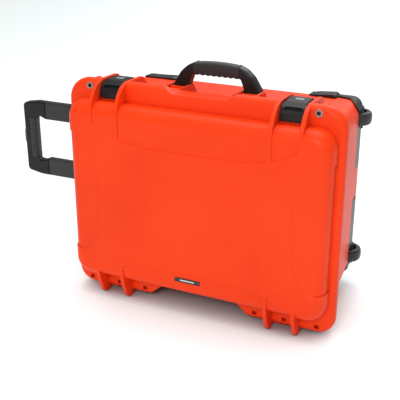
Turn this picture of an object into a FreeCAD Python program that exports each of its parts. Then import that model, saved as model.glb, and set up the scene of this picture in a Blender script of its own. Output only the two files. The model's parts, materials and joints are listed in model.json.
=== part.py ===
import FreeCAD, Part
import math
import os
from FreeCAD import Vector

os.makedirs("parts", exist_ok=True)

# Millimetres. X runs along the case to its wheel end, Y from the lid's front to the base's back,
# and Z up, with the case stood on its hinge side. The origin is at mid length (x = 0), on the
# parting plane of lid and base (y = 0) and on the plane the case stands on (z = 0).

# Overall sizes
caseLength = 600.0            # over the rim, along X
caseHeight = 475.0            # over the rim, along Z
lidDepth = 60.0               # parting plane to the lid's front
baseDepth = 245.0             # parting plane to the base's back
standGap = 8.0                # the hinge ribs reach this far below the rim

# Mouldings
wall = 4.0
lidWall = 5.0                 # thicker, because the front's recesses are cut into it
partingGap = 0.4
lidRimDepth = 18.0
baseRimDepth = 20.0
rimSide = 13.0                # the rim stands out this far at each end
rimLip = 38.0                 # and this far above and below
rimCorner = 48.0
rimLowCorner = 36.0
lidRimEdge = 11.0
baseRimEdge = 4.0
baseRimStep = 8.0             # the base's rim is this much lower than the lid's at the top
baseRimSide = 4.0             # and this much narrower at each end
bodyCorner = 40.0
backCorner = 23.0
backEdge = 10.0
frontRounding = 28.0
sideTaper = 23.0              # the base narrows by this at each end, rim to back
topTaper = 12.0
bottomTaper = 5.0
reliefDepth = 2.5             # the front's shallow recesses
reliefSlope = 3.0             # width of the slope at their edges

# Seal
tongueWidth = 2.5
tongueHeight = 3.0
grooveDepth = 8.0
grooveGap = 0.8
sealGap = 0.2

# Ribs, latches and hinges: one of each on either side of the middle
latchX = 195.0
latchWidth = 52.0             # between its two ribs
ribWidth = 8.0
latchGap = 0.7
latchPinRadius = 2.5
latchPinY = 34.0
latchPinDrop = 9.0            # below the rim's top
leverReach = 56.5             # pin to the claw's front
clawGap = 0.5
buttonPlace = 15.0            # button's middle, in front of the pin
buttonWidth = 17.0
buttonDepth = 10.0
buttonTravel = 2.5
hingePinRadius = 2.5
hingeBarrelRadius = 6.0
hingeGap = 0.5
pinGap = 0.03

# Padlock holes
padlockX = 245.0
padlockDrop = 13.0            # below the rim's top
padlockBore = 4.0
padlockBush = 6.2
padlockLip = 7.4
padRaise = 1.2

# Carry handle
handleY = 79.0
handleHalfWidth = 97.0
handleHeight = 63.5           # pivot to the top of the grip
handleDepth = 24.0
handleLegWidth = 36.0
handlePivotDrop = 25.0        # below the rim's top
handlePinRadius = 3.0
handleGap = 0.5
earWall = 5.0
gripLength = 100.0
gripSkin = 3.0                # thickness of the soft grip over its bar
gripBumps = 8

# Pressure valve
valveY = 44.0
valveFlange = 14.0
valveStem = 8.0

# Trolley handle
armOffset = 75.0              # arm's middle above and below the case's middle
armHeight = 45.0
armDepth = 18.0
armWall = 2.5
armY = 228.0
armGap = 0.6
gripReach = 302.0             # the grip's outside, past the rim
gripBar = 34.0
gripDepth = 22.0
armOverlap = 95.0             # stays inside the frame when pulled out
armLength = 368.0
trolleyTravel = 335.0
rodRadius = 2.0
releaseTravel = 4.0
boltRadius = 4.0
frameWall = 4.0
padProud = 1.0                # the soft pad stands out of the grip by this
gripClear = 1.5               # round the grip when it is pushed in

# Wheels
wheelRadius = 30.0
wheelWidth = 27.0
wheelInset = 5.0              # wheel centre, in from the side at the back
wheelStickOut = 9.0           # tread past the back plane
wheelOffset = 158.0           # wheel's middle above and below the case's middle
axleRadius = 4.0
bearingRadius = 9.5
hubRadius = 21.0
wheelGap = 2.5
wheelSide = 1.5               # room beside the wheel in its slot
runningGap = 0.05
housingSkin = 3.5
housingBack = 7.0
housingCorner = 58.0
cheekDepth = 8.0
upperStart = 51.0             # the upper housing begins this far above the middle
lowerStart = 22.0             # and the lower one this far below it
screwRadius = 2.5
screwHead = 5.0

# Places that follow from the sizes
rimLow = standGap
rimHigh = standGap + caseHeight
baseRimHigh = rimHigh - baseRimStep
midZ = (rimLow + rimHigh) / 2
rimHalf = caseLength / 2
bodyHalf = rimHalf - rimSide
bodyLow = rimLow + rimLip
bodyHigh = rimHigh - rimLip
backHalf = bodyHalf - sideTaper
backLow = bodyLow + bottomTaper
backHigh = bodyHigh - topTaper
backMid = (backLow + backHigh) / 2
lidFace = -partingGap / 2
baseFace = partingGap / 2
hingeZ = hingeBarrelRadius
latchPinZ = rimHigh - latchPinDrop
padlockZ = rimHigh - padlockDrop
handlePivotZ = rimHigh - handlePivotDrop
valveSeat = bodyHigh + 0.5
trolleyFloor = armY - gripDepth / 2 - padProud - gripClear - frameWall
wheelX = backHalf - wheelInset
wheelY = baseDepth + wheelStickOut - wheelRadius
wingFront = wheelY - wheelRadius - wheelGap - 3
pocketTop = backMid + wheelOffset + wheelWidth / 2 + wheelSide + cheekDepth
ribPlaces = [side * (latchX + edge * (latchWidth + ribWidth) / 2) for side in (-1, 1) for edge in (-1, 1)]


def box(x0, x1, y0, y1, z0, z1):
    return Part.makeBox(x1 - x0, y1 - y0, z1 - z0, Vector(x0, y0, z0))


def cylinder(radius, start, end):
    base = Vector(*start)
    run = Vector(*end) - base
    return Part.makeCylinder(radius, run.Length, base, run)


def ring(outer, inner, start, end):
    return cylinder(outer, start, end).cut(cylinder(inner, start, end))


def roundedLoop(points, place):
    # A closed outline; a point is (u, v) or (u, v, radius), and place gives its position.
    corners = [place(point[0], point[1]) for point in points]
    count = len(points)
    ends = []
    for i, point in enumerate(points):
        corner = corners[i]
        radius = point[2] if len(point) > 2 else 0
        if not radius:
            ends.append((corner, corner, None))
            continue
        back = corners[i - 1] - corner
        ahead = corners[(i + 1) % count] - corner
        limit = 0.48 * min(back.Length, ahead.Length)
        back.normalize()
        ahead.normalize()
        half = back.getAngle(ahead) / 2
        reach = min(radius / math.tan(half), limit)
        middle = back + ahead
        middle.normalize()
        toArc = reach * math.tan(half) * (1 / math.sin(half) - 1)
        ends.append((corner + back * reach, corner + ahead * reach, corner + middle * toArc))
    edges = []
    for i in range(count):
        start, end, bend = ends[i]
        if bend:
            edges.append(Part.Arc(start, bend, end).toShape())
        following = ends[(i + 1) % count][0]
        if (following - end).Length > 1e-6:
            edges.append(Part.makeLine(end, following))
    return Part.Wire(edges)


def slabX(points, x0, x1):
    loop = roundedLoop(points, lambda y, z: Vector(x0, y, z))
    return Part.Face(loop).extrude(Vector(x1 - x0, 0, 0))


def slabY(points, y0, y1):
    loop = roundedLoop(points, lambda x, z: Vector(x, y0, z))
    return Part.Face(loop).extrude(Vector(0, y1 - y0, 0))


def slabZ(points, z0, z1):
    loop = roundedLoop(points, lambda x, y: Vector(x, y, z0))
    return Part.Face(loop).extrude(Vector(0, 0, z1 - z0))


def rectLoop(y, half, low, high, radius):
    corners = [(-half, low, radius), (half, low, radius), (half, high, radius), (-half, high, radius)]
    return roundedLoop(corners, lambda x, z: Vector(x, y, z))


def rectSlab(y0, y1, half, low, high, radius):
    return Part.Face(rectLoop(y0, half, low, high, radius)).extrude(Vector(0, y1 - y0, 0))


def rectRing(y0, y1, outer, inner):
    # outer and inner are how far each loop lies outside the cavity
    def slab(out):
        return rectSlab(y0, y1, bodyHalf - wall + out, bodyLow + wall - out, bodyHigh - wall + out,
                        bodyCorner - wall + out)
    return slab(outer).cut(slab(inner))


def mirrorX(shape):
    return shape.mirror(Vector(0, 0, 0), Vector(1, 0, 0))


def mirrorZ(shape):
    # Mirrored about the middle of the base's back, where wheels and trolley handle are laid out.
    return shape.mirror(Vector(0, 0, backMid), Vector(0, 0, 1))


def bothSides(shape):
    return [shape, mirrorX(shape)]


def fuseAll(first, others):
    return first.multiFuse(others).removeSplitter() if others else first


def cutAll(shape, tools):
    return shape.cut(Part.makeCompound(tools)) if tools else shape


def edgesWhere(shape, test):
    return [edge for edge in shape.Edges if test(edge.BoundBox)]


def edgesAtY(shape, y):
    return edgesWhere(shape, lambda b: abs(b.YMin - y) < 0.01 and abs(b.YMax - y) < 0.01)


def coil(radius, wire, start, end):
    # A coil spring from start to end, with closed ends left plain.
    base = Vector(*start)
    run = Vector(*end) - base
    turns = 5
    helix = Part.makeHelix((run.Length - 2 * wire) / turns, run.Length - 2 * wire, radius)
    circle = Part.Wire(Part.makeCircle(wire, Vector(radius, 0, 0), Vector(0, 1, 0)))
    spring = Part.Wire(helix).makePipeShell([circle], True, True)
    spring.translate(Vector(0, 0, wire))
    turn = FreeCAD.Rotation(Vector(0, 0, 1), run)
    spring.Placement = FreeCAD.Placement(base, turn).multiply(spring.Placement)
    return spring


def screw(x, y, z, length, head=screwHead, shank=screwRadius):
    # Head face at y, shank running towards -Y.
    body = cylinder(shank, (x, y, z), (x, y - length, z))
    top = cylinder(head, (x, y, z), (x, y - 2.5, z))
    drive = box(x - 1.5, x + 1.5, y - 1.5, y + 1, z - 1.5, z + 1.5)
    return top.fuse(body).cut(drive)


def save(name, *shapes):
    solids = [solid for shape in shapes for solid in shape.Solids]
    whole = solids[0] if len(solids) == 1 else Part.makeCompound(solids)
    bad = "" if all(solid.isValid() for solid in solids) else "  NOT VALID"
    print(f"{name}: {len(solids)} solids, {sum(s.Volume for s in solids) / 1000:.1f} cm3{bad}")
    whole.exportStep(f"parts/{name}.step")


# ---------------------------------------------------------------- lid

def lidBody(inset):
    # The lid's outside, or a copy of it set in by inset.
    block = rectSlab(-lidDepth + inset, lidFace, bodyHalf - inset, bodyLow + inset, bodyHigh - inset,
                     bodyCorner - inset)
    return block.makeFillet(frontRounding - inset, edgesAtY(block, -lidDepth + inset))


def endRecess():
    # D-shaped recess at the +X end, open to the side.
    inner = bodyHalf - 70
    reach = 133.0
    bow = 4.0
    outline = [
        (rimHalf + 40, midZ - reach), (inner + 36, midZ - reach, 30), (inner + 6, midZ - reach + 36, 60),
        (inner - bow + 1, midZ, 400), (inner + 6, midZ + reach - 36, 60), (inner + 36, midZ + reach, 30),
        (rimHalf + 40, midZ + reach),
    ]
    return outline


def topRecess():
    side = latchX + latchWidth / 2
    low = bodyHigh - 78
    return [
        (-side, rimHigh), (-side, low + 36, 12), (-side + 24, low + 22, 30), (-side + 66, low + 9, 60),
        (-side + 120, low, 200), (side - 120, low, 200), (side - 66, low + 9, 60), (side - 24, low + 22, 30),
        (side, low + 36, 12), (side, rimHigh),
    ]


def bottomRecess():
    side = latchX + latchWidth / 2
    high = bodyLow + 52
    return [
        (-side, rimLow), (-side, high - 32, 8), (-side + 16, high - 33, 12), (-side + 56, high - 13, 40),
        (-side + 112, high, 200), (side - 112, high, 200), (side - 56, high - 13, 40),
        (side - 16, high - 33, 12), (side, high - 32, 8), (side, rimLow),
    ]


def grow(outline, amount):
    # The same outline moved out from its own middle line, for the slope at a recess's edge.
    middleX = sum(p[0] for p in outline) / len(outline)
    middleZ = sum(p[1] for p in outline) / len(outline)
    grown = []
    for point in outline:
        shiftX = amount * max(-1, min(1, (point[0] - middleX) / 20))
        shiftZ = amount * max(-1, min(1, (point[1] - middleZ) / 20))
        grown.append((point[0] + shiftX, point[1] + shiftZ) + tuple(point[2:]))
    return grown


def reliefTool(outline):
    front = -lidDepth
    floor = front + reliefDepth
    straight = slabY(outline, front - 1, -lidRimDepth)
    wide = roundedLoop(grow(outline, reliefSlope), lambda x, z: Vector(x, front, z))
    narrow = roundedLoop(outline, lambda x, z: Vector(x, floor, z))
    return straight.fuse(Part.makeLoft([wide, narrow], True, True))


def latchRib(x):
    top = rimHigh
    outline = [
        (lidFace, bodyHigh - 4), (lidFace, top), (-10, top, 12), (-30, top - 7, 20), (-43, top - 20, 30),
        (-55, top - 38, 24), (-lidDepth, top - 58, 20), (-lidDepth + 6, top - 68),
    ]
    return slabX(outline, x - ribWidth / 2, x + ribWidth / 2)


def hingeRib(x):
    outline = [
        (lidFace, bodyLow + 5), (lidFace, hingeZ + 7), (-10, 0, 3), (-31, 0, 5), (-40, 8, 12),
        (-53, 36, 30), (-lidDepth, 66, 30), (-lidDepth, 90, 10), (-lidDepth + 8, 96),
    ]
    return slabX(outline, x - ribWidth / 2, x + ribWidth / 2)


def rimSlab(y0, y1, half, high, edgeRadius):
    corners = [(-half, rimLow, rimLowCorner), (half, rimLow, rimLowCorner), (half, high, rimCorner),
               (-half, high, rimCorner)]
    block = slabY(corners, y0, y1)
    outside = y0 if abs(y0) > abs(y1) else y1
    return block.makeFillet(edgeRadius, edgesAtY(block, outside))


def rimCuts(y0, y1):
    # Thumb scoop under the carry handle, and the relief between the hinges.
    scoop = [(-78, rimHigh + 1), (-58, rimHigh - 12, 20), (58, rimHigh - 12, 20), (78, rimHigh + 1),
             (60, rimHigh + 20), (-60, rimHigh + 20)]
    under = [(-122, rimLow - 1), (-86, bodyLow - 8, 16), (86, bodyLow - 8, 16), (122, rimLow - 1),
             (60, rimLow - 20), (-60, rimLow - 20)]
    return [slabY(scoop, y0, y1), slabY(under, y0, y1)]


def latchNotch():
    # The room that the latch lever needs in both rims.
    lowFloor = latchPinZ - 12.2
    outline = [
        (-lidDepth, bodyHigh + 1), (-13, bodyHigh + 1), (-13, lowFloor - 4, 4), (-8, lowFloor + 3, 4),
        (0, lowFloor + 3.5), (0.1, lowFloor), (60, lowFloor), (60, rimHigh + 20), (-lidDepth, rimHigh + 20),
    ]
    half = latchWidth / 2
    return slabX(outline, latchX - half, latchX + half)


def barrel(x0, x1, side):
    # A hinge knuckle joined to its own rim, towards -Y (lid) or +Y (base).
    round_ = cylinder(hingeBarrelRadius, (x0, 0, hingeZ), (x1, 0, hingeZ))
    near, far = sorted((side * partingGap / 2, side * 11.0))
    block = box(x0, x1, near, far, hingeZ, bodyLow - 8)
    return round_.fuse(block)


def knuckles():
    # X spans of one hinge: lid, base, lid.
    low = latchX - latchWidth / 2
    high = latchX + latchWidth / 2
    third = (high - low) / 3
    return [(low, low + third), (low + third, high - third), (high - third, high)]


def padlockPad():
    face = -lidRimDepth - padRaise
    high = rimHigh - lidRimEdge + 6
    inner = latchX + latchWidth / 2 + ribWidth / 2
    block = slabY([(inner, bodyHigh - 3), (padlockX + 20, bodyHigh - 3, 8), (padlockX + 16, high, 8),
                   (inner, high)], face, lidFace)
    return block.makeFillet(1.1, edgesAtY(block, face))


def lidShell():
    body = lidBody(0)
    tools = [mirrorX(reliefTool(endRecess())), reliefTool(endRecess()), reliefTool(topRecess()),
             reliefTool(bottomRecess())]
    # The latch ribs run on as low ridges across the top recess.
    tools[2] = cutAll(tools[2], [box(x - ribWidth / 2, x + ribWidth / 2, -lidDepth - 2, 0, midZ, rimHigh + 1)
                                 for x in ribPlaces])
    removed = tools[0].multiFuse(tools[1:]).cut(lidBody(reliefDepth))
    body = body.cut(removed)
    rim = rimSlab(-lidRimDepth, lidFace, rimHalf, rimHigh, lidRimEdge)
    (a0, a1), (b0, b1), (c0, c1) = knuckles()
    added = [rim]
    added += [latchRib(x) for x in ribPlaces]
    added += bothSides(padlockPad())
    shell = fuseAll(body, added)
    shell = cutAll(shell, rimCuts(-lidDepth / 2, 1) + bothSides(latchNotch()))
    added = [hingeRib(x) for x in ribPlaces]
    for span in ((a0, a1 - hingeGap), (c0 + hingeGap, c1)):
        added += bothSides(barrel(*span, -1))
    shell = fuseAll(shell, added)
    mouth = rectSlab(lidFace - 1, 1, bodyHalf - wall, bodyLow + wall, bodyHigh - wall, bodyCorner - wall)
    cuts = [lidBody(lidWall), mouth]
    cuts += [rectRing(-grooveDepth, 1, 4.5 + tongueWidth + grooveGap, 4.5 - grooveGap)]
    cuts += bothSides(cylinder(hingeBarrelRadius + hingeGap, (b0, 0, hingeZ), (b1, 0, hingeZ)))
    cuts += bothSides(cylinder(hingePinRadius + pinGap, (latchX - 40, 0, hingeZ), (latchX + 40, 0, hingeZ)))
    cuts += bothSides(cylinder(padlockBush, (padlockX, -40, padlockZ), (padlockX, 1, padlockZ)))
    cuts += bothSides(box(88, latchX - latchWidth / 2 - ribWidth - 8, -lidRimDepth + wall, 1, bodyHigh + 9,
                          rimHigh - wall))
    for x in (latchX - 65, latchX, padlockX + 20):
        cuts += bothSides(box(x - 5, x + 5, -lidRimDepth - 1, -lidRimDepth + 9, rimLow + 10, rimLow + 19))
    return cutAll(shell, cuts)


def lidGasket():
    return rectRing(-grooveDepth, -tongueHeight - sealGap, 4.5 + tongueWidth + grooveGap - sealGap,
                    4.5 - grooveGap + sealGap)


def padlockBushes(y0, y1, lipFace):
    # lipFace is the end that carries the collar.
    step = 1.2 if lipFace > 0 else -1.2
    bush = ring(padlockBush - pinGap, padlockBore, (padlockX, y0, padlockZ), (padlockX, y1, padlockZ))
    collar = ring(padlockLip, padlockBore, (padlockX, lipFace, padlockZ),
                  (padlockX, lipFace + step, padlockZ))
    return bothSides(bush.fuse(collar).removeSplitter())


def labelPlate():
    face = -lidDepth + reliefDepth
    plate = slabY([(-36, 80, 1.5), (22, 80, 1.5), (22, 90, 1.5), (-36, 90, 1.5)], face - 1.2, face)
    return plate.makeFillet(0.4, edgesAtY(plate, face - 1.2))


# ---------------------------------------------------------------- base

def baseBody(out, back):
    # The base's outside moved out by out at the sides and by back behind.
    front = rectLoop(baseFace, bodyHalf + out, bodyLow - out, bodyHigh + out, bodyCorner + out)
    rear = rectLoop(baseDepth + back, backHalf + out, backLow - out, backHigh + out, backCorner + out)
    return Part.makeLoft([front, rear], True, True)


def cornerPrism(out, z0, z1):
    # The room for one wheel, cut into the base's corner, grown by out on every side.
    far = bodyHalf + 60
    behind = baseDepth + 50
    outline = [(wheelX - 72, baseDepth), (wheelX - 31, wingFront + 8), (wheelX - 15, wingFront),
               (far, wingFront), (far, behind), (wheelX - 72, behind), (wheelX - 72, baseDepth)]
    floor = Part.Face(Part.makePolygon([Vector(x, y, z0 - out) for x, y in outline]))
    if out > 0:
        floor = floor.makeOffset2D(out, 2)
    return floor.extrude(Vector(0, 0, z1 - z0 + out))


def wheelPockets(out, top):
    lower = cornerPrism(out, backMid + lowerStart, top)
    return [cornerPrism(out, backMid + upperStart, top), mirrorZ(lower)]


def trolleyRecess(out):
    half = armOffset + armHeight / 2 + armGap + frameWall
    end = trolleyInnerEnd() + armGap + frameWall
    return box(-rimHalf - 60, end + out, trolleyFloor - out, baseDepth + 60, backMid - half - out,
               backMid + half + out)


def trolleyInnerEnd():
    # The furthest that the arms reach into the case when they are pushed in.
    return -backHalf + armOverlap + trolleyTravel


def baseGusset(x):
    top = rimHigh
    outline = [
        (baseFace, bodyHigh - 6), (baseFace, top), (56, top - 2, 8), (71, top - 18, 8), (79, bodyHigh - 6),
    ]
    return slabX(outline, x - ribWidth / 2, x + ribWidth / 2)


def standRib(x):
    # Stands the case up: runs from the hinge back towards the base's back.
    end = baseDepth - 45
    outline = [(12, bodyLow + 8), (12, 12), (24, 4, 8), (38, 0, 12), (end - 14, 0, 8), (end, 10, 10),
               (end + 6, bodyLow + 16)]
    return slabX(outline, x - ribWidth / 2, x + ribWidth / 2)


def handleEars():
    outside = handleHalfWidth + handleGap
    inside = handleHalfWidth - handleLegWidth - handleGap
    outline = [(baseRimDepth - 1, bodyHigh - 8), (baseRimDepth - 1, baseRimHigh - 1),
               (handleY + 3, rimHigh - 13, 6), (handleY + 21, bodyHigh - 2), (handleY + 22, bodyHigh - 8)]
    plates = [slabX(outline, inside - earWall, inside), slabX(outline, outside, outside + earWall)]
    front = handleY - handleDepth / 2 - 8
    web = box(inside - earWall, outside + earWall, front, front + 7, bodyHigh - 8, rimHigh - 16)
    return fuseAll(plates[0], [plates[1], web])


def valveBoss():
    return cylinder(valveFlange + 3, (0, valveY, bodyHigh - 10), (0, valveY, valveSeat))


def housingScrewPlaces():
    offsets = (armOffset + 46, armOffset + 108)
    return [(wheelX - 88, backMid + side * offset) for side in (-1, 1) for offset in offsets]


def footScrewPlaces():
    places = (-backHalf + 30, -backHalf + 82)
    return [(x, backMid + side * (armOffset + 95)) for side in (-1, 1) for x in places]


def frameScrewPlaces():
    return [(x, backMid + side * 36) for side in (-1, 1) for x in (-150, 0, 130)]


def baseShell():
    body = baseBody(0, 0)
    body = body.makeFillet(backEdge, edgesAtY(body, baseDepth))
    (a0, a1), (b0, b1), (c0, c1) = knuckles()
    added = [rimSlab(baseFace, baseRimDepth, rimHalf - baseRimSide, baseRimHigh, baseRimEdge)]
    added += [baseGusset(x) for x in ribPlaces]
    added += [standRib(x) for x in ribPlaces]
    added += bothSides(barrel(b0 + hingeGap / 2, b1 - hingeGap / 2, 1))
    added += bothSides(handleEars())
    added += [valveBoss()]
    added += bothSides(cylinder(padlockBush + 5, (padlockX, baseFace, padlockZ),
                                (padlockX, baseRimDepth, padlockZ)))
    added += [rectRing(-tongueHeight, baseFace, 4.5 + tongueWidth, 4.5)]
    shell = fuseAll(body, added)
    front = rectLoop(-10, bodyHalf - wall, bodyLow + wall, bodyHigh - wall, bodyCorner - wall)
    rear = rectLoop(baseDepth - wall, backHalf - wall, backLow + wall, backHigh - wall, backCorner - wall)
    cavity = Part.makeLoft([front, rear], True, True)
    cavity = cutAll(cavity, wheelPockets(wall, rimHigh + 20) + [trolleyRecess(wall)])
    cuts = [cavity, trolleyRecess(0)] + wheelPockets(0, pocketTop)
    cuts += rimCuts(-1, baseRimDepth + 1) + bothSides(latchNotch())
    for span in ((a0, a1), (c0, c1)):
        cuts += bothSides(cylinder(hingeBarrelRadius + hingeGap, (span[0], 0, hingeZ), (span[1], 0, hingeZ)))
    cuts += bothSides(cylinder(hingePinRadius + pinGap, (latchX - 40, 0, hingeZ), (latchX + 40, 0, hingeZ)))
    cuts += bothSides(cylinder(latchPinRadius + pinGap, (latchX - 40, latchPinY, latchPinZ),
                               (latchX + 40, latchPinY, latchPinZ)))
    cuts += bothSides(cylinder(padlockBush, (padlockX, -1, padlockZ), (padlockX, 40, padlockZ)))
    cuts += bothSides(box(88, latchX - latchWidth / 2 - ribWidth - 8, -1, baseRimDepth - wall, bodyHigh + 9,
                          baseRimHigh - wall))
    cuts += bothSides(cylinder(handlePinRadius + pinGap, (40, handleY, handlePivotZ),
                               (120, handleY, handlePivotZ)))
    cuts += [cylinder(valveStem, (0, valveY, bodyHigh - 40), (0, valveY, rimHigh))]
    for x, z in housingScrewPlaces() + footScrewPlaces() + frameScrewPlaces():
        cuts += [cylinder(screwRadius + pinGap, (x, baseDepth / 2, z), (x, baseDepth + 10, z))]
    return cutAll(shell, cuts)


def hingePins():
    half = latchWidth / 2 + ribWidth - 1
    return bothSides(cylinder(hingePinRadius, (latchX - half, 0, hingeZ), (latchX + half, 0, hingeZ)))


def valve():
    seat = valveSeat
    body = cylinder(valveFlange, (0, valveY, seat + 1), (0, valveY, seat + 4))
    body = body.fuse(cylinder(valveStem - pinGap, (0, valveY, seat - 18), (0, valveY, seat + 1)))
    body = body.cut(cylinder(4, (0, valveY, seat - 20), (0, valveY, seat + 10))).removeSplitter()
    cap = cylinder(valveFlange - 3, (0, valveY, seat + 4), (0, valveY, seat + 7))
    cap = cap.makeFillet(1.2, edgesWhere(cap, lambda b: b.ZMin > seat + 6.9))
    seal = ring(valveFlange - 1, valveStem + 0.5, (0, valveY, seat), (0, valveY, seat + 1))
    nut = slabZ([(14 * math.cos(math.radians(60 * k)), valveY + 14 * math.sin(math.radians(60 * k)))
                 for k in range(6)], seat - 16, seat - 11.5)
    nut = nut.cut(cylinder(valveStem, (0, valveY, 0), (0, valveY, rimHigh)))
    return body, cap, seal, nut


# ---------------------------------------------------------------- latches

def latchLever(x):
    top = latchPinZ
    pin = latchPinY
    claw = pin - leverReach
    inner = -13 - clawGap
    outline = [
        (claw, bodyHigh + 2, 1.5), (claw, top - 13, 10), (claw + 7, top - 1, 14), (claw + 21, top + 7.5, 16),
        (pin + 5, top + 7.5, 3), (pin + 9, top + 3, 3), (pin + 6, top - 5, 4), (pin - 5, top - 6, 4),
        (pin - 10, top - 3.5, 3), (pin - 34, top - 4, 6), (pin - 42, top - 7, 5), (inner, top - 15, 5),
        (inner, bodyHigh + 2, 1),
    ]
    half = latchWidth / 2 - latchGap
    lever = slabX(outline, x - half, x + half)
    pinHole = cylinder(latchPinRadius + runningGap, (x - 40, pin, top), (x + 40, pin, top))
    thumb = slabZ([(x - 18, -4.5, 4.4), (x + 18, -4.5, 4.4), (x + 18, 4.5, 4.4), (x - 18, 4.5, 4.4)],
                  -3.5, 12)
    thumb.rotate(Vector(x, 0, 0), Vector(1, 0, 0), 50)
    thumb.translate(Vector(0, claw + 7.5, top - 4.5))
    bay = buttonBay(x, buttonDepth / 2 + 0.3, buttonWidth / 2 + 0.3, top - 2, top + 30)
    teeth = [box(x + k * 10 - 2, x + k * 10 + 2, -60, 0, bodyHigh, bodyHigh + 4) for k in (-2, -1, 0, 1, 2)]
    grooves = [box(x + side * 22 - 0.8, x + side * 22 + 0.8, claw - 1, claw + 1.2, bodyHigh, top - 8)
               for side in (-1, 1)]
    shoulders = [box(x + side * half, x + side * (half - 4.5), claw + 16, pin + 20, top + 4, top + 20)
                 if side < 0 else box(x + half - 4.5, x + half, claw + 16, pin + 20, top + 4, top + 20)
                 for side in (-1, 1)]
    return cutAll(lever, [pinHole, thumb, bay] + teeth + grooves + shoulders)


def buttonBay(x, halfY, halfX, z0, z1):
    middle = latchPinY - buttonPlace
    return box(x - halfX, x + halfX, middle - halfY, middle + halfY, z0, z1)


def latchButton(x):
    top = latchPinZ
    block = buttonBay(x, buttonDepth / 2, buttonWidth / 2, top - 2 + buttonTravel + 0.5, top + 8.7)
    block = block.makeFillet(1.2, edgesWhere(block, lambda b: b.ZMin > top + 8))
    middle = latchPinY - buttonPlace
    well = cylinder(3.4, (x, middle, top - 5), (x, middle, top + 5.5))
    return block.cut(well)


def latchSpring(x):
    middle = latchPinY - buttonPlace
    start = latchPinZ - 1.9
    return coil(2.4, 0.4, (x, middle, start), (x, middle, start + 4.5))


def latchPins():
    half = latchWidth / 2 + ribWidth - 1
    return bothSides(cylinder(latchPinRadius, (latchX - half, latchPinY, latchPinZ),
                              (latchX + half, latchPinY, latchPinZ)))


# ---------------------------------------------------------------- carry handle

def handleOutline(out=0):
    top = handlePivotZ + handleHeight - 0.6 + out
    half = handleHalfWidth
    foot = handlePivotZ - handleDepth / 2
    leg = half - handleLegWidth
    right = [(0, top + 0.6, 300), (40, top - 1.4, 60), (61, top - 7, 34), (half - 18, top - 23, 40),
             (half, top - 52, 30), (half, foot), (leg, foot), (leg, top - 48, 16), (leg - 8, top - 27, 6)]
    left = [(-point[0],) + tuple(point[1:]) for point in reversed(right[1:])]
    return right + left


def handleCore():
    y0 = handleY - handleDepth / 2
    y1 = handleY + handleDepth / 2
    core = slabY(handleOutline(), y0, y1)
    core = core.makeFillet(3.5, edgesAtY(core, y0) + edgesAtY(core, y1))
    keep = box(-200, 200, y0 - 5, y1 + 5, handlePivotZ, handlePivotZ + 200)
    keep = keep.fuse(cylinder(handleDepth / 2, (-200, handleY, handlePivotZ), (200, handleY, handlePivotZ)))
    core = core.common(keep)
    high = handlePivotZ + handleHeight
    around = box(-gripLength / 2, gripLength / 2, y0 - 5, y1 + 5, high - 40, high + 10)
    core = core.cut(around).fuse(gripCore(1)).removeSplitter()
    return core.cut(cylinder(handlePinRadius + runningGap, (-200, handleY, handlePivotZ),
                             (200, handleY, handlePivotZ)))


def gripCore(more):
    # The bar inside the soft grip.
    y0 = handleY - handleDepth / 2 + gripSkin
    y1 = handleY + handleDepth / 2 - gripSkin
    high = handlePivotZ + handleHeight
    return box(-gripLength / 2 - more, gripLength / 2 + more, y0, y1, high - 24, high - gripSkin - 3)


def handleGrip():
    y0 = handleY - handleDepth / 2 - 0.6
    y1 = handleY + handleDepth / 2 + 0.6
    high = handlePivotZ + handleHeight
    grip = slabY(handleOutline(0.6), y0, y1)
    grip = grip.makeFillet(5.5, edgesAtY(grip, y0) + edgesAtY(grip, y1))
    end = gripLength / 2 - 0.1
    grip = grip.common(box(-end, end, y0 - 1, y1 + 1, high - 40, high + 10))
    pitch = (gripLength - 10) / gripBumps
    middles = [(k - (gripBumps - 1) / 2) * pitch for k in range(gripBumps)]
    bumps = [cylinder(6.5, (x, y0 + 2.5, high - 23.2), (x, y1 - 2.5, high - 23.2)) for x in middles]
    return fuseAll(grip, bumps).cut(gripCore(10))


def handlePins():
    outside = handleHalfWidth + handleGap + earWall - 0.5
    inside = handleHalfWidth - handleLegWidth - handleGap - earWall + 0.5
    return bothSides(cylinder(handlePinRadius, (inside, handleY, handlePivotZ),
                              (outside, handleY, handlePivotZ)))


# ---------------------------------------------------------------- trolley handle

armLow = armOffset - armHeight / 2
armHigh = armOffset + armHeight / 2
gripX = -rimHalf - gripReach
armInnerX = -backHalf + armOverlap
armOuterX = armInnerX - armLength
boltX = armInnerX - 14
armAxisZ = backMid + armOffset


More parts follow.
